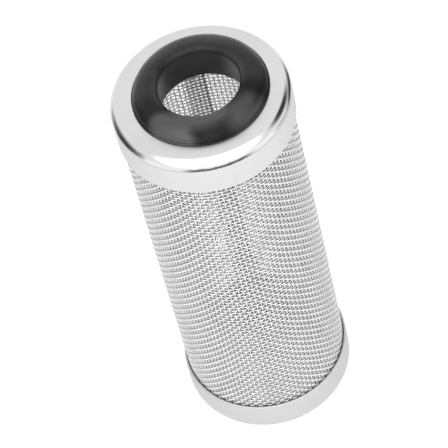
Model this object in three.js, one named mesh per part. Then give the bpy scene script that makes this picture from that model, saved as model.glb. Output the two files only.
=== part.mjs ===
// Push-on mesh inlet strainer: a tube of woven wire cloth closed by a drawn cap at its lower end,
// and by a second drawn cap at its upper end that holds a rubber grommet. A pipe end pushes into
// the grommet. Millimetres, +Z up. The origin is on the axis, at the flat underside of the lower cap.

import * as THREE from "three";

// Wire cloth
const CLOTH_RADIUS = 15.5; // outer surface of the rolled cloth
const CLOTH_THICKNESS = 0.68; // two crossing wires of 0.34 mm
const PLY_GAP = 0.08; // between the two plies where the cloth laps
const LAP_START = 83.0; // degrees from +X: cut edge of the inner ply
const LAP_END = 99.2; // degrees from +X: cut edge of the outer ply
const LAP_EASE = 9.0; // degrees over which the inner ply comes back out to the full radius
const CLOTH_STEP = 3.0; // degrees between the points of the rolled outline

// Drawn caps
const SHEET = 0.4; // thickness of the cap sheet
const CAP_RADIUS = 16.05; // outer radius just under the shoulder
const SKIRT_EDGE_RADIUS = 15.98; // outer radius at the open edge of a skirt, drawn in a little
const SHOULDER_RADIUS = 2.1; // outer radius of the rounded shoulder
const CREASE_Z = 83.5; // where the upper cap's shoulder meets its skirt
const TOP_SKIRT = 6.0; // length of the upper cap's skirt below the crease
const HOLE_RADIUS = 10.5; // hole that takes the grommet
const BOTTOM_CAP_HEIGHT = 8.1; // from the underside to the open edge of the lower cap
const BOTTOM_CORNER_RADIUS = 3.0; // outer radius of the lower cap's rounded corner

// Rubber grommet
const BORE_RADIUS = 7.2; // at the upper rim
const BORE_FOOT_RADIUS = 7.9; // at the lower rim, which opens a little
const FLANGE_RADIUS = 12.25; // domed flange that lies on the cap
const BORE_RISE = 4.9; // top of the rubber above the crease
const BORE_EDGE_RADIUS = 1.1; // rounding of the upper rim
const GROOVE_RADIUS = 10.25; // bottom of the groove that the hole's edge sits in
const GROOVE_CLEARANCE = 0.1; // between rubber and sheet, above and below
const LOWER_FLANGE_RADIUS = 11.6; // flange inside the cap
const LOWER_FLANGE_DROP = 3.3; // bottom of the rubber below the crease

// Backing rings
const RING_GAP_TO_CLOTH = 0.12;
const RING_THICKNESS = 0.5;
const RING_HEIGHT = 4.4;
const RING_SPLIT_FROM = 112.0; // degrees from +X: the ring is split where the cloth laps
const RING_SPLIT_TO = 80.0;

// Spot welds along the lap
const WELD_COUNT = 5;
const WELD_PITCH = 14.8;
const WELD_LOWEST = 12.4;
const WELD_RADIUS = 0.8;
const WELD_HEIGHT = 0.22;
const WELD_LIFT = 0.03; // between the cloth and the weld button

const ROUND_STEPS = 64; // sides of a turned piece
const ARC_STEPS = 5; // chords in a rounded corner

const PLATE_Z = CREASE_Z + SHOULDER_RADIUS;
const CLOTH_INNER = CLOTH_RADIUS - CLOTH_THICKNESS;
const CLOTH_BOTTOM = BOTTOM_CORNER_RADIUS - 0.6;
const CLOTH_TOP = CREASE_Z - 0.3;

const steel = new THREE.MeshStandardMaterial({ color: 0xdadbdc, roughness: 0.28, metalness: 1 });
const wire = new THREE.MeshStandardMaterial({ color: 0xc4c6c8, roughness: 0.35, metalness: 1 });
const ring = new THREE.MeshStandardMaterial({ color: 0xb9bbbd, roughness: 0.45, metalness: 1 });
const weld = new THREE.MeshStandardMaterial({ color: 0xa3a4a6, roughness: 0.5, metalness: 1 });
const rubber = new THREE.MeshStandardMaterial({ color: 0x232325, roughness: 0.6, metalness: 0 });

function radians(degrees) {
  return THREE.MathUtils.degToRad(degrees);
}

// Points of a circular arc in a turned profile, from one angle to another, both ends included.
function arc(centreRadius, centreZ, radius, fromDegrees, toDegrees) {
  const points = [];
  for (let step = 0; step <= ARC_STEPS; step += 1) {
    const angle = radians(fromDegrees + ((toDegrees - fromDegrees) * step) / ARC_STEPS);
    const x = centreRadius + radius * Math.cos(angle);
    const z = centreZ + radius * Math.sin(angle);
    points.push(new THREE.Vector2(x, z));
  }
  return points;
}

function point(radius, z) {
  return new THREE.Vector2(radius, z);
}

// Turns a profile, listed with its material on the left, about the Z axis. A profile that doesn't
// start on the axis is closed on itself.
function turned(name, profile, material) {
  const outline = profile[0].x === 0 ? profile : [...profile, profile[0].clone()];
  const geometry = new THREE.LatheGeometry(outline, ROUND_STEPS);
  geometry.rotateX(Math.PI / 2);
  const mesh = new THREE.Mesh(geometry, material);
  mesh.name = name;
  return mesh;
}

function extruded(name, shape, bottomZ, topZ, material) {
  const geometry = new THREE.ExtrudeGeometry(shape, {
    depth: topZ - bottomZ,
    bevelEnabled: false,
    curveSegments: ROUND_STEPS,
  });
  const mesh = new THREE.Mesh(geometry, material);
  mesh.name = name;
  mesh.position.z = bottomZ;
  return mesh;
}

// Upper cap: flat ring, rounded shoulder and a skirt that narrows a little to its open edge.
function topCap() {
  const shoulderCentre = CAP_RADIUS - SHOULDER_RADIUS;
  const skirtBottom = CREASE_Z - TOP_SKIRT;
  const profile = [
    point(HOLE_RADIUS, PLATE_Z - SHEET),
    ...arc(shoulderCentre, CREASE_Z, SHOULDER_RADIUS - SHEET, 90, 0),
    point(SKIRT_EDGE_RADIUS - SHEET, skirtBottom),
    point(SKIRT_EDGE_RADIUS, skirtBottom),
    ...arc(shoulderCentre, CREASE_Z, SHOULDER_RADIUS, 0, 90),
    point(HOLE_RADIUS, PLATE_Z),
  ];
  return turned("top_cap", profile, steel);
}

// Lower cap: a flat-bottomed cup with a rounded corner, the same height as the upper cap.
function bottomCap() {
  const corner = BOTTOM_CORNER_RADIUS;
  const cornerCentre = CAP_RADIUS - corner;
  const profile = [
    point(0, 0),
    ...arc(cornerCentre, corner, corner, -90, 0),
    point(SKIRT_EDGE_RADIUS, BOTTOM_CAP_HEIGHT),
    point(SKIRT_EDGE_RADIUS - SHEET, BOTTOM_CAP_HEIGHT),
    ...arc(cornerCentre, corner, corner - SHEET, 0, -90),
    point(0, SHEET),
  ];
  return turned("bottom_cap", profile, steel);
}

// Grommet: domed flange above the cap, groove round the hole's edge, flange below, tapered bore.
function grommet() {
  const top = CREASE_Z + BORE_RISE;
  const foot = CREASE_Z - LOWER_FLANGE_DROP;
  const seat = PLATE_Z + GROOVE_CLEARANCE;
  const underside = PLATE_Z - SHEET - GROOVE_CLEARANCE;
  const rimCentre = BORE_RADIUS + BORE_EDGE_RADIUS;
  const dome = new THREE.CubicBezierCurve(
    point(FLANGE_RADIUS, seat + 0.3),
    point(FLANGE_RADIUS - 0.15, seat + 1.1),
    point(FLANGE_RADIUS - 0.75, top),
    point(rimCentre, top),
  );
  const profile = [
    point(BORE_FOOT_RADIUS + 0.4, foot),
    ...arc(LOWER_FLANGE_RADIUS - 0.8, foot + 0.8, 0.8, -90, 0),
    point(LOWER_FLANGE_RADIUS, underside),
    point(GROOVE_RADIUS, underside),
    point(GROOVE_RADIUS, seat),
    point(FLANGE_RADIUS - 0.3, seat),
    ...dome.getPoints(ARC_STEPS + 3),
    ...arc(rimCentre, top - BORE_EDGE_RADIUS, BORE_EDGE_RADIUS, 90, 180).slice(1),
    point(BORE_FOOT_RADIUS, foot + 0.4),
  ];
  return turned("rubber_grommet", profile, rubber);
}

// Radius of the outer surface of the rolled cloth at an angle counted from the inner ply's edge.
function clothRadius(turnDegrees) {
  const sunk = CLOTH_THICKNESS + PLY_GAP;
  const lap = LAP_END - LAP_START;
  const risen = THREE.MathUtils.smoothstep(turnDegrees, lap + 1, lap + 1 + LAP_EASE);
  return CLOTH_RADIUS - sunk * (1 - risen);
}

// The sleeve is one sheet rolled into a tube. Its inner edge is sunk by one ply under the outer one.
function meshSleeve() {
  const lap = LAP_END - LAP_START;
  const total = 360 + lap;
  const steps = Math.round(total / CLOTH_STEP);
  const outside = [];
  const inside = [];
  for (let step = 0; step <= steps; step += 1) {
    const turn = (total * step) / steps;
    const angle = radians(LAP_START + turn);
    const radius = clothRadius(turn);
    outside.push(new THREE.Vector2(radius * Math.cos(angle), radius * Math.sin(angle)));
    const inner = radius - CLOTH_THICKNESS;
    inside.push(new THREE.Vector2(inner * Math.cos(angle), inner * Math.sin(angle)));
  }
  const shape = new THREE.Shape([...outside, ...inside.reverse()]);
  return extruded("mesh_sleeve", shape, CLOTH_BOTTOM, CLOTH_TOP, wire);
}

// A split ring inside the cloth, which a skirt is pressed against. Its split clears the lap.
function backingRing(name, bottomZ) {
  const outer = CLOTH_INNER - RING_GAP_TO_CLOTH;
  const from = radians(RING_SPLIT_FROM);
  const to = radians(RING_SPLIT_TO + 360);
  const shape = new THREE.Shape();
  shape.absarc(0, 0, outer, from, to, false);
  shape.absarc(0, 0, outer - RING_THICKNESS, to, from, true);
  shape.closePath();
  return extruded(name, shape, bottomZ, bottomZ + RING_HEIGHT, ring);
}

// One flattened weld button on the outer ply, at the middle of the lap.
function seamWeld(name, z) {
  const profile = [
    point(0, 0),
    point(WELD_RADIUS, 0),
    point(WELD_RADIUS, WELD_HEIGHT * 0.4),
    point(WELD_RADIUS * 0.6, WELD_HEIGHT),
    point(0, WELD_HEIGHT),
  ];
  const mesh = new THREE.Mesh(new THREE.LatheGeometry(profile, 12), weld);
  mesh.name = name;
  mesh.position.set(CLOTH_RADIUS + WELD_LIFT, 0, z);
  mesh.rotation.z = -Math.PI / 2;
  return mesh;
}

// The row of welds, turned as a group to the middle of the lap.
function seamWelds() {
  const row = new THREE.Group();
  for (let index = 0; index < WELD_COUNT; index += 1) {
    row.add(seamWeld(`seam_weld_${index + 1}`, WELD_LOWEST + WELD_PITCH * index));
  }
  row.rotation.z = radians((LAP_START + LAP_END) / 2);
  return row;
}

const strainer = new THREE.Group();
strainer.name = "mesh_inlet_strainer";
strainer.add(bottomCap());
strainer.add(backingRing("bottom_backing_ring", BOTTOM_CAP_HEIGHT - RING_HEIGHT - 0.6));
strainer.add(meshSleeve());
strainer.add(seamWelds());
strainer.add(backingRing("top_backing_ring", CREASE_Z - TOP_SKIRT + 0.6));
strainer.add(topCap());
strainer.add(grommet());

export default strainer;
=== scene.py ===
"""Push-on mesh inlet strainer in a plain studio: woven wire sleeve, two drawn steel caps, rubber grommet.

The sizes of its sub-assemblies are in millimetres. Meshes, materials and boxes of the frame are in metres.
"""

import logging
import math
from collections.abc import Callable, Iterable, Sequence
from dataclasses import dataclass, field
from enum import Enum

import bmesh
import bpy
from mathutils import Matrix, Vector


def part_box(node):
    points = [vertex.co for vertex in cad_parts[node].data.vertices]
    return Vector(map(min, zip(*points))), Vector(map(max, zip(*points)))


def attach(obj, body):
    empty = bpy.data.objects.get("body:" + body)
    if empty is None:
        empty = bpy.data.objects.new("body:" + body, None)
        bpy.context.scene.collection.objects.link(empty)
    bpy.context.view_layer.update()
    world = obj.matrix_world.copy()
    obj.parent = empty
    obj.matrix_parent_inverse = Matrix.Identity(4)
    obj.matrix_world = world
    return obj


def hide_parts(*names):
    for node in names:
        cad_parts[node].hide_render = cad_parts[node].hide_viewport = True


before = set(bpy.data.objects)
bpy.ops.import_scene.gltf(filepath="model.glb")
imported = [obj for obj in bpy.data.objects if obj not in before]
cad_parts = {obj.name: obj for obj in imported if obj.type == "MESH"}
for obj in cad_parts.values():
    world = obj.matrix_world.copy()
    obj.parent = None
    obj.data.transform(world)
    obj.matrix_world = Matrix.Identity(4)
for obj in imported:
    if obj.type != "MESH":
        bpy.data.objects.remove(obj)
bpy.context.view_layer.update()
LOG = logging.getLogger("strainer")

MM = 0.001
TURN = 2 * math.pi
AXIS = Vector((0, 0, 1))
ORIGIN = Vector((0, 0, 0))
MERGE_DISTANCE = 0.001 * MM
NEGLIGIBLE = 0.0001 * MM


# ---------------------------------------------------------------- shader maths


class Sock:
    """One output socket of a node tree, with Python's operators as Math nodes."""

    def __init__(self, tree: "Tree", out: bpy.types.NodeSocket | None) -> None:
        """Keeps the tree and the socket that this value comes from."""
        self.tree = tree
        self.out = out

    def _math(self, operation: str, *values: "Sock | float") -> "Sock":
        """Adds a Math node.

        Args:
            operation: the Math node's operation.
            values: its inputs, in order.

        Returns:
            The node's result.
        """
        return self.tree.node("ShaderNodeMath", {"operation": operation}, dict(enumerate(values)))

    def __add__(self, other: "Sock | float") -> "Sock":
        """self + other."""
        return self._math("ADD", self, other)

    def __radd__(self, other: float) -> "Sock":
        """other + self."""
        return self._math("ADD", other, self)

    def __sub__(self, other: "Sock | float") -> "Sock":
        """self - other."""
        return self._math("SUBTRACT", self, other)

    def __rsub__(self, other: float) -> "Sock":
        """other - self."""
        return self._math("SUBTRACT", other, self)

    def __mul__(self, other: "Sock | float") -> "Sock":
        """self * other."""
        return self._math("MULTIPLY", self, other)

    def __rmul__(self, other: float) -> "Sock":
        """other * self."""
        return self._math("MULTIPLY", other, self)

    def __truediv__(self, other: "Sock | float") -> "Sock":
        """self / other."""
        return self._math("DIVIDE", self, other)

    def __pow__(self, other: float) -> "Sock":
        """self ** other."""
        return self._math("POWER", self, other)


class Tree:
    """A node tree that adds nodes by type, settings and inputs. Noise scales are in cells per metre."""

    def __init__(self, node_tree: bpy.types.NodeTree) -> None:
        """Empties a node tree.

        Args:
            node_tree: of a material or a world.
        """
        self.nodes = node_tree.nodes
        self.links = node_tree.links
        self.nodes.clear()

    def node(
        self, kind: str, settings: dict | None = None, inputs: dict | None = None, out: int | str = 0
    ) -> Sock:
        """Adds one node.

        Args:
            kind: the node's type name.
            settings: attributes that are set before its inputs.
            inputs: values or links, by input name or number.
            out: the output that is returned, by name or number.

        Returns:
            The chosen output.
        """
        made = self.nodes.new(kind)
        for name, value in (settings or {}).items():
            setattr(made, name, value)
        for name, value in (inputs or {}).items():
            if isinstance(value, Sock):
                self.links.new(value.out, made.inputs[name])
            else:
                made.inputs[name].default_value = value
        return Sock(self, made.outputs[out]) if len(made.outputs) else Sock(self, None)

    def least(self, value: Sock, limit: float) -> Sock:
        """The smaller of a value and a limit."""
        return self.node("ShaderNodeMath", {"operation": "MINIMUM"}, {0: value, 1: limit})

    def absolute(self, value: Sock) -> Sock:
        """The size of a value without its sign."""
        return self.node("ShaderNodeMath", {"operation": "ABSOLUTE"}, {0: value})

    def step(self, value: Sock, low: float, high: float) -> Sock:
        """A smooth rise.

        Args:
            value: the value that is measured.
            low: where the rise starts.
            high: where it ends.

        Returns:
            A mask that is 0 below low and 1 above high.
        """
        settings = {"interpolation_type": "SMOOTHSTEP"}
        inputs = {"Value": value, "From Min": low, "From Max": high}
        return self.node("ShaderNodeMapRange", settings, inputs)

    def blend(self, mask: Sock | float, low: tuple | Sock, high: tuple | Sock) -> Sock:
        """Mixes two colours.

        Args:
            mask: the share of the second colour, from 0 to 1.
            low: the first colour.
            high: the second colour.

        Returns:
            The mixed colour.
        """
        settings = {"data_type": "RGBA"}
        return self.node("ShaderNodeMix", settings, {0: mask, 6: low, 7: high}, out=2)

    def place(self) -> Sock:
        """The piece's own coordinates, in metres."""
        return self.node("ShaderNodeTexCoord", out="Object")

    def split(self, vector: Sock) -> tuple[Sock, Sock, Sock]:
        """Takes a vector apart.

        Args:
            vector: the vector.

        Returns:
            Its X, Y and Z.
        """
        first = self.node("ShaderNodeSeparateXYZ", None, {0: vector})
        parts = first.out.node.outputs
        return first, Sock(self, parts[1]), Sock(self, parts[2])

    def join(self, x: Sock | float, y: Sock | float, z: Sock | float) -> Sock:
        """A vector of three values."""
        return self.node("ShaderNodeCombineXYZ", None, {0: x, 1: y, 2: z})

    def noise(self, vector: Sock, scale: float, detail: float = 3.0, rough: float = 0.5) -> Sock:
        """Noise from 0 to 1 over a vector in metres."""
        inputs = {"Vector": vector, "Scale": scale, "Detail": detail, "Roughness": rough}
        return self.node("ShaderNodeTexNoise", None, inputs)

    def bump(self, height: Sock, strength: float, distance: float, under: Sock | None = None) -> Sock:
        """Adds a Bump node.

        Args:
            height: the relief, from 0 to 1.
            strength: of the bump.
            distance: the relief's depth in metres.
            under: a normal that the bump is laid on.

        Returns:
            The bumped normal.
        """
        inputs = {"Height": height, "Strength": strength, "Distance": distance}
        if under is not None:
            inputs["Normal"] = under
        return self.node("ShaderNodeBump", None, inputs)


def new_tree(name: str) -> tuple[bpy.types.Material, Tree]:
    """Makes an empty material.

    Args:
        name: the material's name.

    Returns:
        The material and its tree.
    """
    material = bpy.data.materials.new(name)
    material.use_nodes = True
    return material, Tree(material.node_tree)


def close(tree: Tree, inputs: dict) -> None:
    """Ends a material's tree in a Principled shader.

    Args:
        tree: the material's tree.
        inputs: the shader's inputs, by name.
    """
    shader = tree.node("ShaderNodeBsdfPrincipled", None, inputs)
    tree.node("ShaderNodeOutputMaterial", None, {"Surface": shader})


def facing(x: Sock, y: Sock, radius: Sock, azimuth: float) -> Sock:
    """How squarely a point of a turned piece lies in a direction.

    Args:
        x: the point's distance from the axis along X.
        y: its distance along Y.
        radius: its distance in all.
        azimuth: the direction in degrees, 0 towards -Y and 90 towards +X.

    Returns:
        The cosine of the angle between the two.
    """
    turn = math.radians(azimuth)
    return (x * math.sin(turn) - y * math.cos(turn)) / radius


# ---------------------------------------------------------------- finishes


@dataclass(frozen=True)
class DarkReflection:
    """A painted dark reflection on the polished shoulder above the groove, placed by direction round the cap.

    Its direction and half width are in degrees, and its heights above the groove in millimetres.
    """

    azimuth: float
    half_width: float
    low: float
    high: float
    strength: float
    lower_fade: float = 0.12
    upper_fade: float = 0.3

    def mask(self, tree: Tree, square: Sock, height: Sock) -> Sock:
        """The painted dark reflection's strength.

        Args:
            tree: the material's tree.
            square: how squarely a point lies in the dark reflection's direction.
            height: the point's height above the groove, in metres.

        Returns:
            A mask.
        """
        width = math.radians(self.half_width)
        along = tree.step(square, math.cos(width * 1.25), math.cos(width * 0.6))
        past_low = tree.step(height, self.low * MM, (self.low + self.lower_fade) * MM)
        past_high = tree.step(height, (self.high - self.upper_fade) * MM, self.high * MM)
        return along * past_low * (1 - past_high) * self.strength


@dataclass(frozen=True)
class CapSteel:
    """Drawn cap sheet: turned face and skirt in satin, shoulder polished to a mirror, with painted shade in
    the groove and painted dark reflections on the shoulder.

    The heights of the shoulder and the groove and the radius of the face are in metres.
    """

    name: str
    shoulder_from: float
    shoulder_to: float
    groove_at: float
    face_radius: float
    tint: tuple[float, float, float, float] = (0.75, 0.75, 0.755, 1)
    cloudy_tint: tuple[float, float, float, float] = (0.69, 0.69, 0.695, 1)
    skirt_tint: tuple[float, float, float, float] = (0.72, 0.72, 0.725, 1)
    # Dark colour of the painted shade in the groove and of the painted dark reflections on the shoulder.
    painted_shade_and_reflection: tuple[float, float, float, float] = (0.12, 0.12, 0.12, 1)
    # Painted dark reflections on the polished shoulder.
    dark_reflections: tuple[DarkReflection, ...] = ()
    satin: float = 0.3
    blasted: float = 0.58
    mirror: float = 0.1
    edge_blur: float = 0.12
    groove_core: float = 0.03
    groove_reach: float = 0.16
    reflection_waver: float = 0.5
    face_cells: float = 9000
    skirt_cells: float = 7000
    skirt_stretch: float = 0.02
    cloud_cells: float = 160
    mottle_cells: float = 900
    ripple_cells: float = 60

    def zones(self, tree: Tree, radius: Sock, z: Sock) -> tuple[Sock, Sock]:
        """The two parts of the cap that aren't skirt.

        Args:
            tree: the material's tree.
            radius: a point's distance from the axis, in metres.
            z: its height, in metres.

        Returns:
            A mask of the turned face, and one of the polished shoulder.
        """
        soft = self.edge_blur * MM
        on_face = 1 - tree.step(radius, self.face_radius - soft, self.face_radius + soft)
        above = tree.step(z, self.shoulder_from - soft, self.shoulder_from + soft)
        below = 1 - tree.step(z, self.shoulder_to - soft, self.shoulder_to + soft)
        return on_face, above * below * (1 - on_face)

    def painted_darkening(self, tree: Tree, place: Sock, radius: Sock, mottle: Sock) -> Sock:
        """The painted shade in the groove and the painted dark reflections above it.

        Args:
            tree: the material's tree.
            place: the point, in metres.
            radius: its distance from the axis, in metres.
            mottle: noise that makes the painted shade and reflections uneven.

        Returns:
            A mask.
        """
        x, y, z = tree.split(place)
        height = z - self.groove_at
        # Painted shade along the groove, uneven with the mottle.
        depth = 1 - tree.step(tree.absolute(height), self.groove_core * MM, self.groove_reach * MM)
        painted_darkening = depth * (0.1 + mottle * 0.8)
        wavering = height + (mottle - 0.5) * (self.reflection_waver * MM)
        # Painted dark reflections on the shoulder, placed by direction.
        for reflection in self.dark_reflections:
            painted_darkening = painted_darkening + reflection.mask(tree, facing(x, y, radius, reflection.azimuth), wavering)
        return tree.least(painted_darkening, 1.0)

    def make(self) -> bpy.types.Material:
        """Returns the material."""
        material, tree = new_tree(self.name)
        place = tree.place()
        x, y, z = tree.split(place)
        radius = (x * x + y * y) ** 0.5
        on_face, polished = self.zones(tree, radius, z)
        face_lines = tree.noise(tree.join(radius, 0.0, 0.0), self.face_cells, 2)
        stretch = self.skirt_stretch
        skirt_lines = tree.noise(tree.join(x * stretch, y * stretch, z), self.skirt_cells, 2)
        lines = face_lines * on_face + skirt_lines * (1 - on_face)
        cloud = tree.noise(place, self.cloud_cells, 4, 0.55)
        mottle = tree.noise(place, self.mottle_cells, 4, 0.65)
        specks = tree.step(mottle, 0.68, 0.76)
        satin = self.satin * on_face + self.blasted * (1 - on_face)
        satin = satin + (lines - 0.5) * 0.16 + (cloud - 0.5) * 0.14
        mirror = self.mirror + (cloud - 0.5) * 0.08 + (mottle - 0.5) * 0.1
        rough = mirror * polished + satin * (1 - polished) + specks * 0.12
        clean = tree.blend(tree.step(cloud, 0.35, 0.75) * 0.6, self.tint, self.cloudy_tint)
        skirt = (1 - on_face) * (1 - polished)
        colour = tree.blend(skirt, clean, self.skirt_tint)
        # Mixes in the painted shade in the groove and the painted dark reflections on the shoulder.
        colour = tree.blend(self.painted_darkening(tree, place, radius, mottle), colour, self.painted_shade_and_reflection)
        fine = tree.bump(lines * (1 - polished), 0.18, 0.02 * MM)
        normal = tree.bump(tree.noise(place, self.ripple_cells, 2), 0.12, 0.1 * MM, fine)
        inputs = {"Base Color": colour, "Metallic": 1.0, "Roughness": rough, "Normal": normal}
        close(tree, inputs | {"Specular Tint": (0.8, 0.8, 0.8, 1)})
        return material


@dataclass(frozen=True)
class Wire:
    """Bright drawn wire with fine grain, a little dulling, painted shade along the welded lap and a painted
    shadow along the inner ply's cut edge.

    The lap and the cut edge are directions in degrees from +X.
    """

    name: str
    lap: tuple[float, float]
    cut_edge: float
    tint: tuple[float, float, float, float] = (0.73, 0.73, 0.735, 1)
    dull: tuple[float, float, float, float] = (0.58, 0.58, 0.585, 1)
    # Grey of the painted shade on the lap.
    lap_shade: tuple[float, float, float, float] = (0.54, 0.54, 0.54, 1)
    # Dark grey of the painted shadow along the cut edge.
    cut_edge_shadow: tuple[float, float, float, float] = (0.34, 0.34, 0.34, 1)
    cut_edge_shadow_half_width: float = 0.9
    band_core: float = 0.3
    band_fade: float = 0.6
    rough: float = 0.33
    cloud_cells: float = 420
    grain_cells: float = 5200

    def band(self, tree: Tree, x: Sock, y: Sock, middle: float, half_width: float) -> Sock:
        """A strip along the tube.

        Args:
            tree: the material's tree.
            x: distance from the axis along X.
            y: distance from the axis along Y.
            middle: direction of its middle in degrees from +X.
            half_width: in degrees.

        Returns:
            A mask.
        """
        square = facing(x, y, (x * x + y * y) ** 0.5, middle + 90)
        faded = math.cos(math.radians(half_width + self.band_fade))
        full = math.cos(math.radians(half_width - self.band_core))
        return tree.step(square, faded, full)

    def make(self) -> bpy.types.Material:
        """Returns the material."""
        material, tree = new_tree(self.name)
        place = tree.place()
        cloud = tree.noise(place, self.cloud_cells, 4, 0.6)
        grain = tree.noise(place, self.grain_cells, 3, 0.6)
        clean = tree.blend(tree.step(cloud, 0.45, 0.8) * 0.6, self.tint, self.dull)
        x, y, _ = tree.split(place)
        start, end = self.lap
        seam = self.band(tree, x, y, (start + end) / 2, (end - start) / 2)
        # Painted shade along the lap, uneven with the cloud.
        lap_shaded = tree.blend(seam * (0.45 + cloud * 0.7), clean, self.lap_shade)
        # Painted shadow along the inner ply's cut edge.
        edge = self.band(tree, x, y, self.cut_edge, self.cut_edge_shadow_half_width)
        colour = tree.blend(edge, lap_shaded, self.cut_edge_shadow)
        rough = self.rough + (cloud - 0.5) * 0.22 + (grain - 0.5) * 0.12
        normal = tree.bump(grain, 0.2, 0.01 * MM)
        close(tree, {"Base Color": colour, "Metallic": 1.0, "Roughness": rough, "Normal": normal})
        return material


@dataclass(frozen=True)
class PlainSteel:
    """Rolled strip or a weld: dull steel with scale-like mottling."""

    name: str
    tint: tuple[float, float, float, float]
    dark: tuple[float, float, float, float]
    rough: float
    cloud_cells: float
    grains_per_cloud: float = 9

    def make(self) -> bpy.types.Material:
        """Returns the material."""
        material, tree = new_tree(self.name)
        place = tree.place()
        cloud = tree.noise(place, self.cloud_cells, 4, 0.6)
        grain = tree.noise(place, self.cloud_cells * self.grains_per_cloud, 3, 0.6)
        colour = tree.blend(tree.step(cloud, 0.4, 0.7), self.tint, self.dark)
        rough = self.rough + (grain - 0.5) * 0.2
        normal = tree.bump(grain, 0.25, 0.02 * MM)
        close(tree, {"Base Color": colour, "Metallic": 1.0, "Roughness": rough, "Normal": normal})
        return material


@dataclass(frozen=True)
class PaintedHighlight:
    """A soft patch of painted highlight on the rubber, placed by direction round the grommet.

    Its direction and half width are in degrees, and its two radii in millimetres.
    """

    azimuth: float
    half_width: float
    inner: float
    outer: float
    strength: float
    fade: float = 1.3
    waver: float = 2.2

    def mask(self, tree: Tree, square: Sock, radius: Sock, warp: Sock) -> Sock:
        """The patch's strength.

        Args:
            tree: the material's tree.
            square: how squarely a point lies in the patch's direction.
            radius: the point's distance from the grommet's axis, in metres.
            warp: noise round 0 that makes the patch's edge uneven.

        Returns:
            A mask.
        """
        width = math.radians(self.half_width)
        along = tree.step(square + warp * 0.2, math.cos(width * 1.7), math.cos(width * 0.1))
        place = radius + warp * (self.waver * MM)
        past_inner = tree.step(place, (self.inner - self.fade) * MM, (self.inner + self.fade) * MM)
        past_outer = tree.step(place, (self.outer - self.fade) * MM, (self.outer + self.fade) * MM)
        return along * past_inner * (1 - past_outer) * self.strength


@dataclass(frozen=True)
class MouldedRubber:
    """Black moulded rubber: glossy skin in soft patches that carry faint random bloom and painted highlights,
    fine grain, a few dust specks.

    The centre of the grommet is in metres.
    """

    name: str
    centre: Vector
    black: tuple[float, float, float, float] = (0.006, 0.006, 0.0063, 1)
    # Lighter colour of the faint random bloom and of the painted highlights.
    bloom_and_highlight: tuple[float, float, float, float] = (0.046, 0.046, 0.047, 1)
    dust: tuple[float, float, float, float] = (0.2, 0.2, 0.2, 1)
    rough: float = 0.36
    warp_cells: float = 110
    haze_cells: float = 180
    swell_cells: float = 150
    grain_cells: float = 3800
    speck_cells: float = 1900
    # Painted highlights, placed by direction round the grommet.
    painted_highlights: tuple[PaintedHighlight, ...] = (
        PaintedHighlight(-39, 15, 9.3, 13.2, 1.05),
        PaintedHighlight(-16, 25, 6.8, 10.2, 0.85),
        PaintedHighlight(4, 18, 6.8, 8.8, 0.7),
        PaintedHighlight(38, 17, 8.6, 12.6, 0.65),
        PaintedHighlight(26, 22, 7.2, 9.8, 0.3),
        PaintedHighlight(180, 85, 8.3, 13.0, 0.45),
        PaintedHighlight(180, 120, 5.5, 7.6, 0.25),
        PaintedHighlight(102, 24, 5.5, 7.9, 0.5),
        PaintedHighlight(-98, 24, 5.5, 7.9, 0.5),
    )

    def make(self) -> bpy.types.Material:
        """Returns the material."""
        material, tree = new_tree(self.name)
        place = tree.place()
        x, y, _ = tree.split(place)
        x = x - self.centre.x
        y = y - self.centre.y
        radius = (x * x + y * y) ** 0.5
        warp = tree.noise(place, self.warp_cells, 2.5, 0.55) - 0.5
        patches = tree.step(tree.noise(place, self.haze_cells, 2, 0.5), 0.3, 0.8) * 0.15
        # Painted highlights: lighter colour and a glossier coat in patches placed by direction.
        for highlight in self.painted_highlights:
            patches = patches + highlight.mask(tree, facing(x, y, radius, highlight.azimuth), radius, warp)
        grain = tree.noise(place, self.grain_cells, 3, 0.6)
        specks = tree.step(tree.noise(place, self.speck_cells, 1, 0.4), 0.79, 0.85)
        matt = tree.blend(patches, self.black, self.bloom_and_highlight)
        colour = tree.blend(specks * 0.6, matt, self.dust)
        rough = self.rough + (grain - 0.5) * 0.14
        swell = tree.noise(place, self.swell_cells, 2)
        normal = tree.bump(grain, 0.2, 0.02 * MM, tree.bump(swell, 0.3, 0.25 * MM))
        inputs = {"Base Color": colour, "Roughness": rough, "Normal": normal, "Specular IOR Level": 0.1}
        close(tree, inputs | {"Coat Weight": tree.least(patches, 1.0), "Coat Roughness": 0.26})
        return material


@dataclass(frozen=True)
class FloorPaint:
    """Matt white studio floor that glows, so that it reads as plain white."""

    name: str
    white: float = 0.4
    shade: float = 0.985
    cloud_cells: float = 3
    glow: float = 0.65

    def make(self) -> bpy.types.Material:
        """Returns the material."""
        material, tree = new_tree(self.name)
        cloud = tree.noise(tree.place(), self.cloud_cells, 3)
        low = (self.white * self.shade,) * 3 + (1,)
        high = (self.white,) * 3 + (1,)
        colour = tree.blend(cloud, low, high)
        inputs = {"Base Color": colour, "Roughness": 0.9, "Specular IOR Level": 0.1}
        inputs |= {"Emission Color": (1, 1, 1, 1), "Emission Strength": self.glow}
        close(tree, inputs)
        return material


# ---------------------------------------------------------------- mesh tools


class Edge(Enum):
    """How the outline of a profile is joined when it is turned."""

    CLOSED = "closed on itself"
    OPEN = "ends on the axis"


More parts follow.
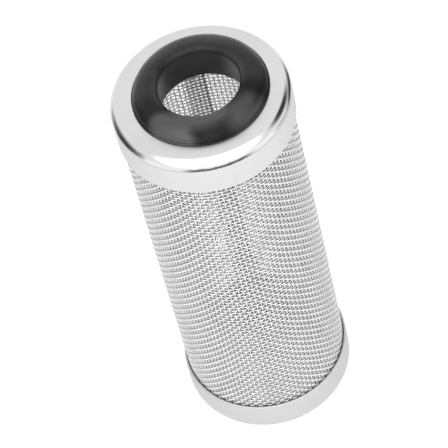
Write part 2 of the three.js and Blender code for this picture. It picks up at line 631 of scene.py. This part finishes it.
class Profile:
    """The outline of a turned piece, in millimetres of radius and height."""

    def __init__(self) -> None:
        """Starts with no points."""
        self.points: list[tuple[float, float]] = []

    def to(self, radius: float, z: float) -> "Profile":
        """Adds a straight line to a point, and returns the profile."""
        self.points.append((radius, z))
        return self

    def arc(
        self, at: tuple[float, float], size: float, start: float, end: float, steps: int = 8
    ) -> "Profile":
        """Adds a circular arc.

        Args:
            at: centre, as radius and height.
            size: radius of the arc.
            start: first angle in degrees, 0 pointing away from the axis and 90 up.
            end: last angle.
            steps: chords in the arc.

        Returns:
            The profile.
        """
        for index in range(steps + 1):
            angle = math.radians(start + (end - start) * index / steps)
            self.points.append((at[0] + size * math.cos(angle), at[1] + size * math.sin(angle)))
        return self

    def curve(self, hull: Sequence[tuple[float, float]], steps: int = 10) -> "Profile":
        """Adds a cubic curve.

        Args:
            hull: four points. The curve runs from the first to the last and is drawn towards the others.
            steps: chords in the curve.

        Returns:
            The profile.
        """
        for index in range(steps + 1):
            t = index / steps
            weights = ((1 - t) ** 3, 3 * t * (1 - t) ** 2, 3 * t * t * (1 - t), t**3)
            radius = sum(w * p[0] for w, p in zip(weights, hull))
            z = sum(w * p[1] for w, p in zip(weights, hull))
            self.points.append((radius, z))
        return self

    def turned(self, ends: Edge, steps: int = 192) -> bmesh.types.BMesh:
        """Spins the outline round the axis.

        Args:
            ends: whether the outline closes on itself.
            steps: sides of the turned piece.

        Returns:
            A closed mesh.
        """
        mesh = bmesh.new()
        verts = [mesh.verts.new((r * MM, 0, z * MM)) for r, z in self.points]
        pairs = list(zip(verts, verts[1:]))
        if ends is Edge.CLOSED:
            pairs.append((verts[-1], verts[0]))
        edges = [mesh.edges.new(pair) for pair in pairs]
        bmesh.ops.spin(
            mesh, geom=verts + edges, cent=ORIGIN, axis=AXIS, angle=TURN, steps=steps, use_merge=True
        )
        tidy(mesh)
        return mesh


def tidy(mesh: bmesh.types.BMesh, sharp: float = 32.0) -> None:
    """Merges doubles, turns faces outwards and keeps edges over an angle crisp.

    Args:
        mesh: the mesh, changed in place.
        sharp: the angle in degrees.
    """
    bmesh.ops.remove_doubles(mesh, verts=mesh.verts, dist=MERGE_DISTANCE)
    bmesh.ops.recalc_face_normals(mesh, faces=mesh.faces)
    for face in mesh.faces:
        face.smooth = True
    for edge in mesh.edges:
        edge.smooth = edge.calc_face_angle(0) < math.radians(sharp)


def ease_edges(mesh: bmesh.types.BMesh, over: float, width: float) -> None:
    """Rounds a mesh's crisp edges with a small bevel.

    Args:
        mesh: the mesh, changed in place.
        over: the angle in degrees over which an edge is rounded.
        width: of the bevel, in metres.
    """
    bmesh.ops.recalc_face_normals(mesh, faces=mesh.faces)
    rims = [edge for edge in mesh.edges if edge.calc_face_angle(0) > math.radians(over)]
    bmesh.ops.bevel(
        mesh,
        geom=rims,
        offset=width,
        offset_type="OFFSET",
        segments=2,
        profile=0.5,
        affect="EDGES",
        clamp_overlap=True,
        material=-1,
    )


def piece(name: str, mesh: bmesh.types.BMesh, finish: bpy.types.Material) -> bpy.types.Object:
    """Makes an object of a finished mesh.

    Args:
        name: the piece's name.
        mesh: its mesh, freed here.
        finish: its material.

    Returns:
        The object, linked to the scene.
    """
    data = bpy.data.meshes.new(name)
    mesh.to_mesh(data)
    mesh.free()
    data.materials.append(finish)
    made = bpy.data.objects.new(name, data)
    bpy.context.scene.collection.objects.link(made)
    return made


def settle(made: bpy.types.Object, body: str, nodes: Iterable[str] = ()) -> None:
    """Puts a piece on its body, in the place of CAD nodes.

    Args:
        made: the piece.
        body: the CAD body that it moves with.
        nodes: CAD nodes that it stands for.
    """
    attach(made, body)
    for node in nodes:
        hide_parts(node)
    LOG.info("%s: %d faces on %s", made.name, len(made.data.polygons), body)


def wire_along(points: Sequence[Vector], radius: float) -> bmesh.types.BMesh:
    """A round wire with six sides along a line of points.

    Args:
        points: its centre line, in metres.
        radius: of the wire, in metres.

    Returns:
        A closed mesh.
    """
    curve = bpy.data.curves.new("wire", "CURVE")
    curve.dimensions = "3D"
    curve.bevel_depth = radius
    curve.bevel_resolution = 1
    curve.use_fill_caps = True
    spline = curve.splines.new("POLY")
    spline.points.add(len(points) - 1)
    for target, place in zip(spline.points, points):
        target.co = (*place, 1)
    holder = bpy.data.objects.new("wire", curve)
    data = bpy.data.meshes.new_from_object(holder)
    mesh = bmesh.new()
    mesh.from_mesh(data)
    bpy.data.objects.remove(holder)
    bpy.data.curves.remove(curve)
    bpy.data.meshes.remove(data)
    bmesh.ops.remove_doubles(mesh, verts=mesh.verts, dist=MERGE_DISTANCE)
    bmesh.ops.recalc_face_normals(mesh, faces=mesh.faces)
    for face in mesh.faces:
        face.smooth = len(face.verts) == 4
    return mesh


def repeat(mesh: bmesh.types.BMesh, count: int, angle: float = 0.0, lift: float = 0.0) -> None:
    """Copies everything in a mesh round the axis or along it.

    Args:
        mesh: the mesh, changed in place.
        count: how many there are in the end, the first included.
        angle: from each copy to the next, in radians.
        lift: from each copy to the next, in metres.
    """
    if count < 2:
        return
    everything = mesh.verts[:] + mesh.edges[:] + mesh.faces[:]
    bmesh.ops.spin(
        mesh,
        geom=everything,
        cent=ORIGIN,
        axis=AXIS,
        dvec=(0, 0, lift),
        angle=angle * (count - 1),
        steps=count - 1,
        use_duplicate=True,
    )


def merged(parts: Iterable[bmesh.types.BMesh]) -> bmesh.types.BMesh:
    """Joins several meshes into one.

    Args:
        parts: the meshes, freed here.

    Returns:
        One mesh of all of them.
    """
    whole = bmesh.new()
    for part in parts:
        data = bpy.data.meshes.new("part")
        part.to_mesh(data)
        part.free()
        whole.from_mesh(data)
        bpy.data.meshes.remove(data)
    return whole


# ---------------------------------------------------------------- caps


@dataclass
class TopCap:
    """Drawn cap with a hole: flat face, polished shoulder, satin skirt drawn in at its edge."""

    radius: float = 16.05
    sheet: float = 0.4
    shoulder: float = 2.1
    skirt: float = 6.0
    hole: float = 10.5
    draw_in: float = 0.07
    groove: float = 0.09
    groove_drop: float = 0.07
    skirt_inset: float = 0.01
    lip: float = 0.14
    # Painted dark reflections on the polished shoulder, placed by direction round the cap.
    dark_reflections: tuple[DarkReflection, ...] = (
        DarkReflection(0, 21, -0.05, 0.75, 1.05),
        DarkReflection(57, 14, 0.25, 1.1, 0.5),
        DarkReflection(-64, 14, 0.4, 1.5, 0.6),
    )

    def profile(self, face_z: float) -> Profile:
        """The outline of the sheet.

        Args:
            face_z: height of the cap's face in millimetres.

        Returns:
            The outline.
        """
        crease_z = face_z - self.shoulder
        foot = crease_z - self.skirt
        centre = (self.radius - self.shoulder, crease_z)
        edge = self.radius - self.draw_in
        lip = self.lip
        groove_z = crease_z - self.groove_drop
        outline = Profile()
        outline.to(self.hole + lip, face_z).arc(centre, self.shoulder, 90, 0, 14)
        outline.to(self.radius - self.groove, groove_z)
        outline.to(self.radius - self.skirt_inset, groove_z - self.groove)
        outline.arc((edge - lip, foot + lip), lip, 0, -90, 4)
        outline.arc((edge - self.sheet + lip, foot + lip), lip, -90, -180, 4)
        outline.arc(centre, self.shoulder - self.sheet, 0, 90, 8)
        outline.to(self.hole + lip, face_z - self.sheet)
        outline.arc((self.hole + lip, face_z - lip), lip, 180, 100, 3)
        return outline

    def build(self) -> bpy.types.Object:
        """Returns the finished cap."""
        face_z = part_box("top_cap")[1].z / MM
        crease_z = face_z - self.shoulder
        finish = CapSteel(
            "cap_steel_top",
            shoulder_from=crease_z * MM,
            shoulder_to=(face_z + 1) * MM,
            groove_at=(crease_z - self.groove_drop) * MM,
            face_radius=(self.radius - self.shoulder) * MM,
            dark_reflections=self.dark_reflections,
        )
        made = piece("top_cap_drawn", self.profile(face_z).turned(Edge.CLOSED), finish.make())
        settle(made, "strainer", ["top_cap"])
        return made


@dataclass
class BottomCap:
    """Drawn cup that closes the sleeve: flat underside, rounded corner, short skirt."""

    radius: float = 16.05
    sheet: float = 0.4
    corner: float = 3.0
    draw_in: float = 0.07
    lip: float = 0.14

    def profile(self, top: float) -> Profile:
        """The outline of the sheet.

        Args:
            top: height of the cup's open edge in millimetres.

        Returns:
            The outline.
        """
        lip = self.lip
        edge = self.radius - self.draw_in
        centre = (self.radius - self.corner, self.corner)
        outline = Profile()
        outline.to(0, 0).to(centre[0] * 0.5, 0).arc(centre, self.corner, -90, 0, 16)
        outline.arc((edge - lip, top - lip), lip, 0, 90, 4)
        outline.arc((edge - self.sheet + lip, top - lip), lip, 90, 180, 4)
        outline.arc(centre, self.corner - self.sheet, 0, -90, 12)
        outline.to(centre[0] * 0.5, self.sheet).to(0, self.sheet)
        return outline

    def build(self) -> bpy.types.Object:
        """Returns the finished cap, whose steel has its polished band and groove out of sight below it."""
        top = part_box("bottom_cap")[1].z / MM
        finish = CapSteel(
            "cap_steel_bottom",
            shoulder_from=-2 * MM,
            shoulder_to=-1 * MM,
            groove_at=-3 * MM,
            skirt_tint=(0.64, 0.64, 0.645, 1),
            face_radius=(self.radius - self.corner) * MM,
        )
        made = piece("bottom_cap_drawn", self.profile(top).turned(Edge.OPEN), finish.make())
        settle(made, "strainer", ["bottom_cap"])
        return made


@dataclass
class BackingRing:
    """Split strip ring inside the cloth, which a skirt is pressed against.

    Its two ends are in degrees from +X.
    """

    node: str
    thickness: float = 0.5
    clearance: float = 0.12
    edge: float = 0.08
    split_from: float = 112.0
    split_to: float = 440.0
    steps: int = 160

    def build(self, finish: bpy.types.Material, cloth_inner: float) -> bpy.types.Object:
        """Makes the ring.

        Args:
            finish: its material.
            cloth_inner: inner radius of the cloth in millimetres.

        Returns:
            The finished ring.
        """
        low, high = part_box(self.node)
        outer = (cloth_inner - self.clearance) * MM
        middle = outer - self.thickness * MM / 2
        mesh = bmesh.new()
        square = bmesh.ops.create_grid(mesh, x_segments=1, y_segments=1, size=0.5)["verts"]
        bmesh.ops.scale(mesh, vec=(self.thickness * MM, high.z - low.z, 1), verts=square)
        bmesh.ops.rotate(mesh, cent=ORIGIN, matrix=Matrix.Rotation(math.pi / 2, 3, "X"), verts=square)
        bmesh.ops.translate(mesh, vec=(middle, 0, (low.z + high.z) / 2), verts=square)
        turn = Matrix.Rotation(math.radians(self.split_from), 3, "Z")
        bmesh.ops.rotate(mesh, cent=ORIGIN, matrix=turn, verts=square)
        sweep = math.radians(self.split_to - self.split_from)
        section = mesh.faces[:] + mesh.edges[:] + mesh.verts[:]
        bmesh.ops.spin(mesh, geom=section, cent=ORIGIN, axis=AXIS, angle=sweep, steps=self.steps)
        ease_edges(mesh, 45, self.edge * MM)
        tidy(mesh)
        made = piece(f"{self.node}_strip", mesh, finish)
        settle(made, "strainer", [self.node])
        return made


# ---------------------------------------------------------------- grommet


@dataclass
class Grommet:
    """Moulded rubber ring: domed flange above the cap, groove, lower flange and a smooth bore.

    The sizes called edge are the radii of rounded edges. The curve of the dome starts at its foot, and is
    drawn towards its side and its shoulder. Foot and side have heights above the flange's underside, and side
    and shoulder lie inwards of the foot. The offset from the axis is in metres.
    """

    bore: float = 7.2
    bore_foot: float = 7.9
    flange: float = 12.22
    lip: float = 0.25
    groove: float = 10.1
    lower_flange: float = 11.6
    rim: float = 1.3
    foot_edge: float = 0.5
    lower_edge: float = 0.8
    inner_edge: float = 0.25
    flange_edge: float = 0.1
    flange_wall: float = 0.05
    dome_foot: float = 0.27
    dome_side: tuple[float, float] = (0.05, 0.95)
    dome_shoulder: float = 0.55
    clearance: float = 0.1
    offset: Vector = field(default_factory=lambda: Vector((0.3, 0.02, 0)) * MM)

    def profile(self, foot: float, top: float, face_z: float, sheet: float) -> Profile:
        """Outline of the rubber.

        Args:
            foot: lowest point in millimetres.
            top: highest point.
            face_z: height of the cap's face.
            sheet: thickness of the cap's sheet.

        Returns:
            The outline.
        """
        seat = face_z + self.clearance
        under = face_z - sheet - self.clearance
        rim_at = (self.bore + self.rim, top - self.rim)
        foot_edge, lower_edge = self.foot_edge, self.lower_edge
        inner_edge, flange_edge = self.inner_edge, self.flange_edge
        outline = Profile()
        outline.arc((self.bore_foot + foot_edge, foot + foot_edge), foot_edge, 180, 270, 4)
        outline.arc((self.lower_flange - lower_edge, foot + lower_edge), lower_edge, -90, 0, 6)
        outline.arc((self.lower_flange - inner_edge, under - inner_edge), inner_edge, 0, 90, 3)
        outline.to(self.groove, under).to(self.groove, seat)
        outline.arc((self.flange - flange_edge, seat + flange_edge), flange_edge, -90, 0, 3)
        wall_top = seat + flange_edge + self.flange_wall
        outline.arc((self.flange - flange_edge, wall_top), flange_edge, 0, 80, 3)
        start = self.flange - self.lip
        inwards, upwards = self.dome_side
        pulls = [(start - inwards, seat + upwards), (start - self.dome_shoulder, top)]
        outline.curve([(start, seat + self.dome_foot), *pulls, (rim_at[0], top)], 24)
        outline.arc(rim_at, self.rim, 81, 180, 10)
        return outline

    def build(self, cap: TopCap) -> bpy.types.Object:
        """Makes the grommet.

        Args:
            cap: the cap that it sits in.

        Returns:
            The finished grommet.
        """
        low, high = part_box("rubber_grommet")
        face_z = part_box("top_cap")[1].z / MM
        outline = self.profile(low.z / MM, high.z / MM, face_z, cap.sheet)
        finish = MouldedRubber("moulded_rubber", self.offset).make()
        mesh = outline.turned(Edge.CLOSED)
        bmesh.ops.translate(mesh, vec=self.offset, verts=mesh.verts)
        made = piece("grommet_moulded", mesh, finish)
        settle(made, "grommet", ["rubber_grommet"])
        return made


# ---------------------------------------------------------------- wire cloth


@dataclass
class Cloth:
    """Plain square-weave wire cloth, rolled into a tube with its two edges lapped.

    The lap is in degrees from +X. Places along the sheet are in pitches of the upright wires.
    """

    outer: float = 15.5
    wire: float = 0.34
    uprights_round: int = 112
    ply_gap: float = 0.08
    lap_start: float = 83.0
    lap_end: float = 99.2
    lap_ease: float = 9.0
    selvage: float = 0.3
    overhang: float = 0.35
    per_crossing: int = 3
    bundles: int = 3
    low: float = field(init=False)
    high: float = field(init=False)

    def __post_init__(self) -> None:
        """Takes the cloth's two ends from its CAD node."""
        low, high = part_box("mesh_sleeve")
        self.low = low.z / MM
        self.high = high.z / MM

    @property
    def middle(self) -> float:
        """Radius half-way through the cloth."""
        return self.outer - self.wire

    @property
    def pitch_angle(self) -> float:
        """Degrees from one upright wire to the next."""
        return 360 / self.uprights_round

    @property
    def row_pitch(self) -> float:
        """Height from one ring wire to the next, equal to the pitch round the tube."""
        return TURN * self.middle / self.uprights_round

    @property
    def uprights(self) -> int:
        """Upright wires in the whole sheet, with the lap."""
        return int((360 + self.lap_end - self.lap_start) / self.pitch_angle)

    @property
    def rows(self) -> int:
        """Ring wires in the whole height."""
        return int((self.high - self.low) / self.row_pitch)

    @property
    def first_row(self) -> float:
        """Height of the lowest ring wire."""
        spare = (self.high - self.low) - (self.rows - 1) * self.row_pitch
        return self.low + spare / 2

    def sheet_radius(self, turn: float) -> float:
        """Radius of the middle of the sheet.

        Args:
            turn: degrees along the sheet from the inner ply's cut edge.

        Returns:
            The radius in millimetres.
        """
        sunk = 2 * self.wire + self.ply_gap
        start = self.lap_end - self.lap_start + 1
        t = min(1.0, max(0.0, (turn - start) / self.lap_ease))
        return self.middle - sunk * (1 - t * t * (3 - 2 * t))

    def upright(self, phase: int) -> list[Vector]:
        """Centre line of an upright wire.

        Args:
            phase: 0 if it passes outside the first ring wire, 1 if inside.

        Returns:
            The line's points about an upright line through the origin, in metres.
        """
        steps = self.rows * self.per_crossing
        points = []
        for index in range(steps + 1):
            rows = index / self.per_crossing - 0.5
            swing = self.wire / 2 * math.cos(math.pi * (rows + phase))
            points.append(Vector((swing * MM, 0, (self.first_row + rows * self.row_pitch) * MM)))
        return points

    def place_upright(self, number: float) -> tuple[float, float]:
        """The sheet's place at an upright wire.

        Args:
            number: the wire's place along the sheet.

        Returns:
            Its angle in radians, and the radius of the middle of the sheet in metres.
        """
        turn = (number + self.selvage) * self.pitch_angle
        return math.radians(self.lap_start + turn), self.sheet_radius(turn) * MM

    def upright_bundle(self, numbers: Sequence[int]) -> bmesh.types.BMesh:
        """Upright wires by number.

        Args:
            numbers: their places along the sheet.

        Returns:
            One mesh of all of them.
        """
        parts = []
        for phase in (0, 1):
            chosen = [n for n in numbers if n % 2 == phase]
            full = [n for n in chosen if abs(self.place_upright(n)[1] - self.middle * MM) < NEGLIGIBLE]
            sunk = [n for n in chosen if n not in full]
            runs = [[n] for n in sunk] + ([full] if full else [])
            for run in runs:
                angle, radius = self.place_upright(run[0])
                wire = wire_along(self.upright(phase), self.wire / 2 * MM)
                bmesh.ops.translate(wire, vec=(radius, 0, 0), verts=wire.verts)
                turn = Matrix.Rotation(angle, 3, "Z")
                bmesh.ops.rotate(wire, cent=ORIGIN, matrix=turn, verts=wire.verts)
                repeat(wire, len(run), angle=math.radians(2 * self.pitch_angle))
                parts.append(wire)
        return merged(parts)

    def ring(self, phase: int) -> list[Vector]:
        """Centre line of a ring wire in the lowest row.

        Args:
            phase: 0 if it passes inside the first upright wire, 1 if outside.

        Returns:
            The line's points, in metres.
        """
        start = -self.overhang
        end = self.uprights - 1 + self.overhang
        steps = round((end - start) * self.per_crossing)
        points = []
        for index in range(steps + 1):
            number = start + (end - start) * index / steps
            angle, middle = self.place_upright(number)
            radius = middle - self.wire / 2 * MM * math.cos(math.pi * (number + phase))
            height = self.first_row * MM
            points.append(Vector((radius * math.cos(angle), radius * math.sin(angle), height)))
        return points

    def ring_bundle(self, numbers: Sequence[int]) -> bmesh.types.BMesh:
        """Ring wires by row.

        Args:
            numbers: their rows.

        Returns:
            One mesh of all of them.
        """
        parts = []
        for phase in (0, 1):
            chosen = [n for n in numbers if n % 2 == phase]
            wire = wire_along(self.ring(phase), self.wire / 2 * MM)
            lift = chosen[0] * self.row_pitch * MM
            bmesh.ops.translate(wire, vec=(0, 0, lift), verts=wire.verts)
            repeat(wire, len(chosen), lift=2 * self.row_pitch * MM)
            parts.append(wire)
        return merged(parts)

    def shares(self, count: int) -> list[list[int]]:
        """Splits a row of wires into bundles of neighbours.

        Args:
            count: how many wires there are.

        Returns:
            The wires' numbers, bundle by bundle.
        """
        numbers = list(range(count))
        size = math.ceil(count / self.bundles)
        return [numbers[first : first + size] for first in range(0, count, size)]

    def build(self) -> list[bpy.types.Object]:
        """Returns the bundles of wires."""
        edge_wire = self.lap_start + self.selvage * self.pitch_angle
        finish = Wire("drawn_wire", (self.lap_start, self.lap_end), edge_wire).make()
        kinds: list[tuple[str, int, Callable[[Sequence[int]], bmesh.types.BMesh]]] = [
            ("upright_wires", self.uprights, self.upright_bundle),
            ("ring_wires", self.rows, self.ring_bundle),
        ]
        made = []
        for name, count, bundle in kinds:
            for index, numbers in enumerate(self.shares(count)):
                wires = piece(f"{name}_{index + 1}", bundle(numbers), finish)
                settle(wires, "strainer", ["mesh_sleeve"])
                made.append(wires)
        return made


@dataclass
class SeamWeld:
    """One flattened spot weld on the lap of the cloth.

    The rim is a share of its radius. The rise, the crater and how far it is sunk are shares of its height.
    """

    node: str
    taper: float = 0.82
    rise: float = 0.8
    rim: float = 0.26
    crater: float = 0.55
    sunk: float = 0.9
    edge: float = 0.05

    def build(self, finish: bpy.types.Material) -> bpy.types.Object:
        """Makes the weld.

        Args:
            finish: its material.

        Returns:
            The finished weld.
        """
        low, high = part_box(self.node)
        centre = (low + high) / 2
        out = Vector((centre.x, centre.y, 0)).normalized()
        radius = (high.z - low.z) / 2
        height = (high - centre).dot(Vector((abs(out.x), abs(out.y), 0)))
        mesh = bmesh.new()
        bmesh.ops.create_circle(mesh, cap_ends=True, segments=28, radius=radius)
        face = mesh.faces[:][0]
        raised = bmesh.ops.extrude_face_region(mesh, geom=[face])["geom"]
        top = [v for v in raised if isinstance(v, bmesh.types.BMVert)]
        bmesh.ops.translate(mesh, vec=(0, 0, height * self.rise), verts=top)
        bmesh.ops.scale(mesh, vec=(self.taper, self.taper, 1), verts=top)
        cap = [f for f in raised if isinstance(f, bmesh.types.BMFace)]
        bmesh.ops.inset_region(mesh, faces=cap, thickness=radius * self.rim, depth=0)
        dent = {v for f in cap for v in f.verts}
        bmesh.ops.translate(mesh, vec=(0, 0, -height * self.crater), verts=list(dent))
        ease_edges(mesh, 12, self.edge * MM)
        outwards = AXIS.rotation_difference(out).to_matrix()
        bmesh.ops.rotate(mesh, cent=ORIGIN, matrix=outwards, verts=mesh.verts)
        bmesh.ops.translate(mesh, vec=centre - out * height * self.sunk, verts=mesh.verts)
        tidy(mesh, 50)
        made = piece(f"{self.node}_spot", mesh, finish)
        settle(made, "strainer", [self.node])
        return made


# ---------------------------------------------------------------- studio


@dataclass(frozen=True)
class DarkCard:
    """Upright card that is dark in its middle and fades out, seen only as a reflection in steel and rubber.

    Its sizes are in millimetres, and its azimuth in degrees, 0 towards -Y and 90 towards +X.
    """

    name: str
    azimuth: float
    distance: float
    height: float
    side: float
    dark_radius: float
    fade_radius: float
    darkest: float

    def finish(self, centre: Vector) -> bpy.types.Material:
        """Makes the card's material.

        Args:
            centre: the card's middle, in metres.

        Returns:
            The material.
        """
        material, tree = new_tree(self.name)
        distance = {"operation": "DISTANCE"}
        away = tree.node("ShaderNodeVectorMath", distance, {0: tree.place(), 1: centre}, out="Value")
        fade = tree.step(away, self.dark_radius * MM, self.fade_radius * MM)
        clear = tree.node("ShaderNodeBsdfTransparent")
        paint = tree.node("ShaderNodeBsdfDiffuse", None, {"Color": (self.darkest,) * 3 + (1,)})
        mix = tree.node("ShaderNodeMixShader", None, {0: fade, 1: paint, 2: clear})
        tree.node("ShaderNodeOutputMaterial", None, {"Surface": mix})
        return material

    def build(self) -> None:
        """Puts the card in its place, hidden from the camera."""
        turn = math.radians(self.azimuth)
        across, back = math.sin(turn) * self.distance, -math.cos(turn) * self.distance
        centre = Vector((across, back, self.height)) * MM
        mesh = bmesh.new()
        verts = bmesh.ops.create_grid(mesh, x_segments=1, y_segments=1, size=self.side * MM / 2)["verts"]
        upright = Matrix.Rotation(math.pi / 2, 3, "X")
        bmesh.ops.rotate(mesh, cent=ORIGIN, matrix=upright, verts=verts)
        bmesh.ops.rotate(mesh, cent=ORIGIN, matrix=Matrix.Rotation(turn, 3, "Z"), verts=verts)
        bmesh.ops.translate(mesh, vec=centre, verts=verts)
        card = piece(self.name, mesh, self.finish(centre))
        for ray in ("camera", "diffuse", "shadow", "transmission", "volume_scatter"):
            setattr(card, f"visible_{ray}", False)


@dataclass
class Studio:
    """White floor, soft light and a long-lens camera.

    Angles are in degrees, the lens and the sensor in millimetres, and the other sizes in metres.
    """

    elevation: float = 52.45
    roll: float = -15.17
    distance: float = 0.4626
    lens: float = 213.8
    sensor: float = 36
    aim: Vector = field(default_factory=lambda: Vector((-1.8, -17.5, 70.04)) * MM)
    floor_size: float = 4.0
    sky_level: float = 0.97
    front_level: float = 1.9
    front_azimuth: float = -8
    front_elevation: float = 36
    front_spread: tuple[float, float] = (37, 60)
    cards: tuple[DarkCard, ...] = (
        DarkCard("dark_card_right", 93, 150, 155, 300, 26, 95, 0.04),
        DarkCard("dark_card_far_right", 115, 150, 46, 300, 22, 78, 0.06),
        DarkCard("dark_card_left", -107, 150, 60, 300, 28, 105, 0.12),
    )

    def floor(self) -> None:
        """Lays the floor under the strainer."""
        mesh = bmesh.new()
        bmesh.ops.create_grid(mesh, x_segments=8, y_segments=8, size=self.floor_size / 2)
        laid = piece("studio_floor", mesh, FloorPaint("floor_paint").make())

    @staticmethod
    def patch(tree: Tree, way: Sock, azimuth: float, elevation: float, inner: float, outer: float) -> Sock:
        """A round patch of sky.

        Args:
            tree: the world's tree.
            way: the direction that is looked in.
            azimuth: of the patch's middle in degrees, 0 towards -Y and 90 towards +X.
            elevation: of its middle in degrees.
            inner: angle from its middle up to which it is full.
            outer: angle at which it has faded out.

        Returns:
            A mask from 0 to 1.
        """
        turn, rise = math.radians(azimuth), math.radians(elevation)
        middle = (math.sin(turn) * math.cos(rise), -math.cos(turn) * math.cos(rise), math.sin(rise))
        settings = {"operation": "DOT_PRODUCT"}
        near = tree.node("ShaderNodeVectorMath", settings, {0: way, 1: middle}, out="Value")
        return tree.step(near, math.cos(math.radians(outer)), math.cos(math.radians(inner)))

    def sky(self) -> None:
        """Surrounds the scene with a soft light, brighter in front and above."""
        world = bpy.data.worlds.new("studio")
        world.use_nodes = True
        tree = Tree(world.node_tree)
        way = tree.node("ShaderNodeTexCoord", out="Generated")
        front = self.patch(tree, way, self.front_azimuth, self.front_elevation, *self.front_spread)
        level = self.sky_level + front * (self.front_level - self.sky_level)
        seen = tree.node("ShaderNodeLightPath", out="Is Camera Ray")
        level = level * (1 - seen) + seen
        glow = tree.node("ShaderNodeBackground", None, {"Color": (1, 1, 1, 1), "Strength": level})
        tree.node("ShaderNodeOutputWorld", None, {"Surface": glow})
        bpy.context.scene.world = world

    def camera(self) -> None:
        """Sets the camera, turned a little about its own line of sight."""
        data = bpy.data.cameras.new("camera")
        data.sensor_width = self.sensor
        data.lens = self.lens
        data.clip_start = 0.01
        data.clip_end = 20
        view = bpy.data.objects.new("camera", data)
        bpy.context.scene.collection.objects.link(view)
        rise = math.radians(self.elevation)
        back = Vector((0, -math.cos(rise), math.sin(rise)))
        view.location = self.aim + back * self.distance
        straight = (-back).to_track_quat("-Z", "Y").to_matrix()
        tilt = Matrix.Rotation(math.radians(self.roll), 3, "Z")
        view.rotation_euler = (straight @ tilt).to_euler()
        bpy.context.scene.camera = view

    def build(self) -> None:
        """Makes everything round the strainer."""
        self.floor()
        for card in self.cards:
            card.build()
        self.sky()
        self.camera()
        bpy.context.scene.view_settings.view_transform = "Standard"


def main() -> None:
    """Builds the strainer and the studio."""
    logging.basicConfig(level=logging.INFO, format="%(name)s: %(message)s")
    Studio().build()
    cloth = Cloth()
    cap = TopCap()
    strip = PlainSteel("rolled_strip", (0.62, 0.62, 0.63, 1), (0.48, 0.48, 0.49, 1), 0.4, 260)
    fused = PlainSteel("fused_steel", (0.5, 0.5, 0.51, 1), (0.24, 0.23, 0.23, 1), 0.45, 900)
    ring_steel = strip.make()
    weld_steel = fused.make()
    BottomCap().build()
    cap.build()
    Grommet().build(cap)
    for node in ("bottom_backing_ring", "top_backing_ring"):
        BackingRing(node).build(ring_steel, cloth.outer - 2 * cloth.wire)
    cloth.build()
    for node in sorted(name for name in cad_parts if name.startswith("seam_weld_")):
        SeamWeld(node).build(weld_steel)


if __name__ == "__main__":
    main()
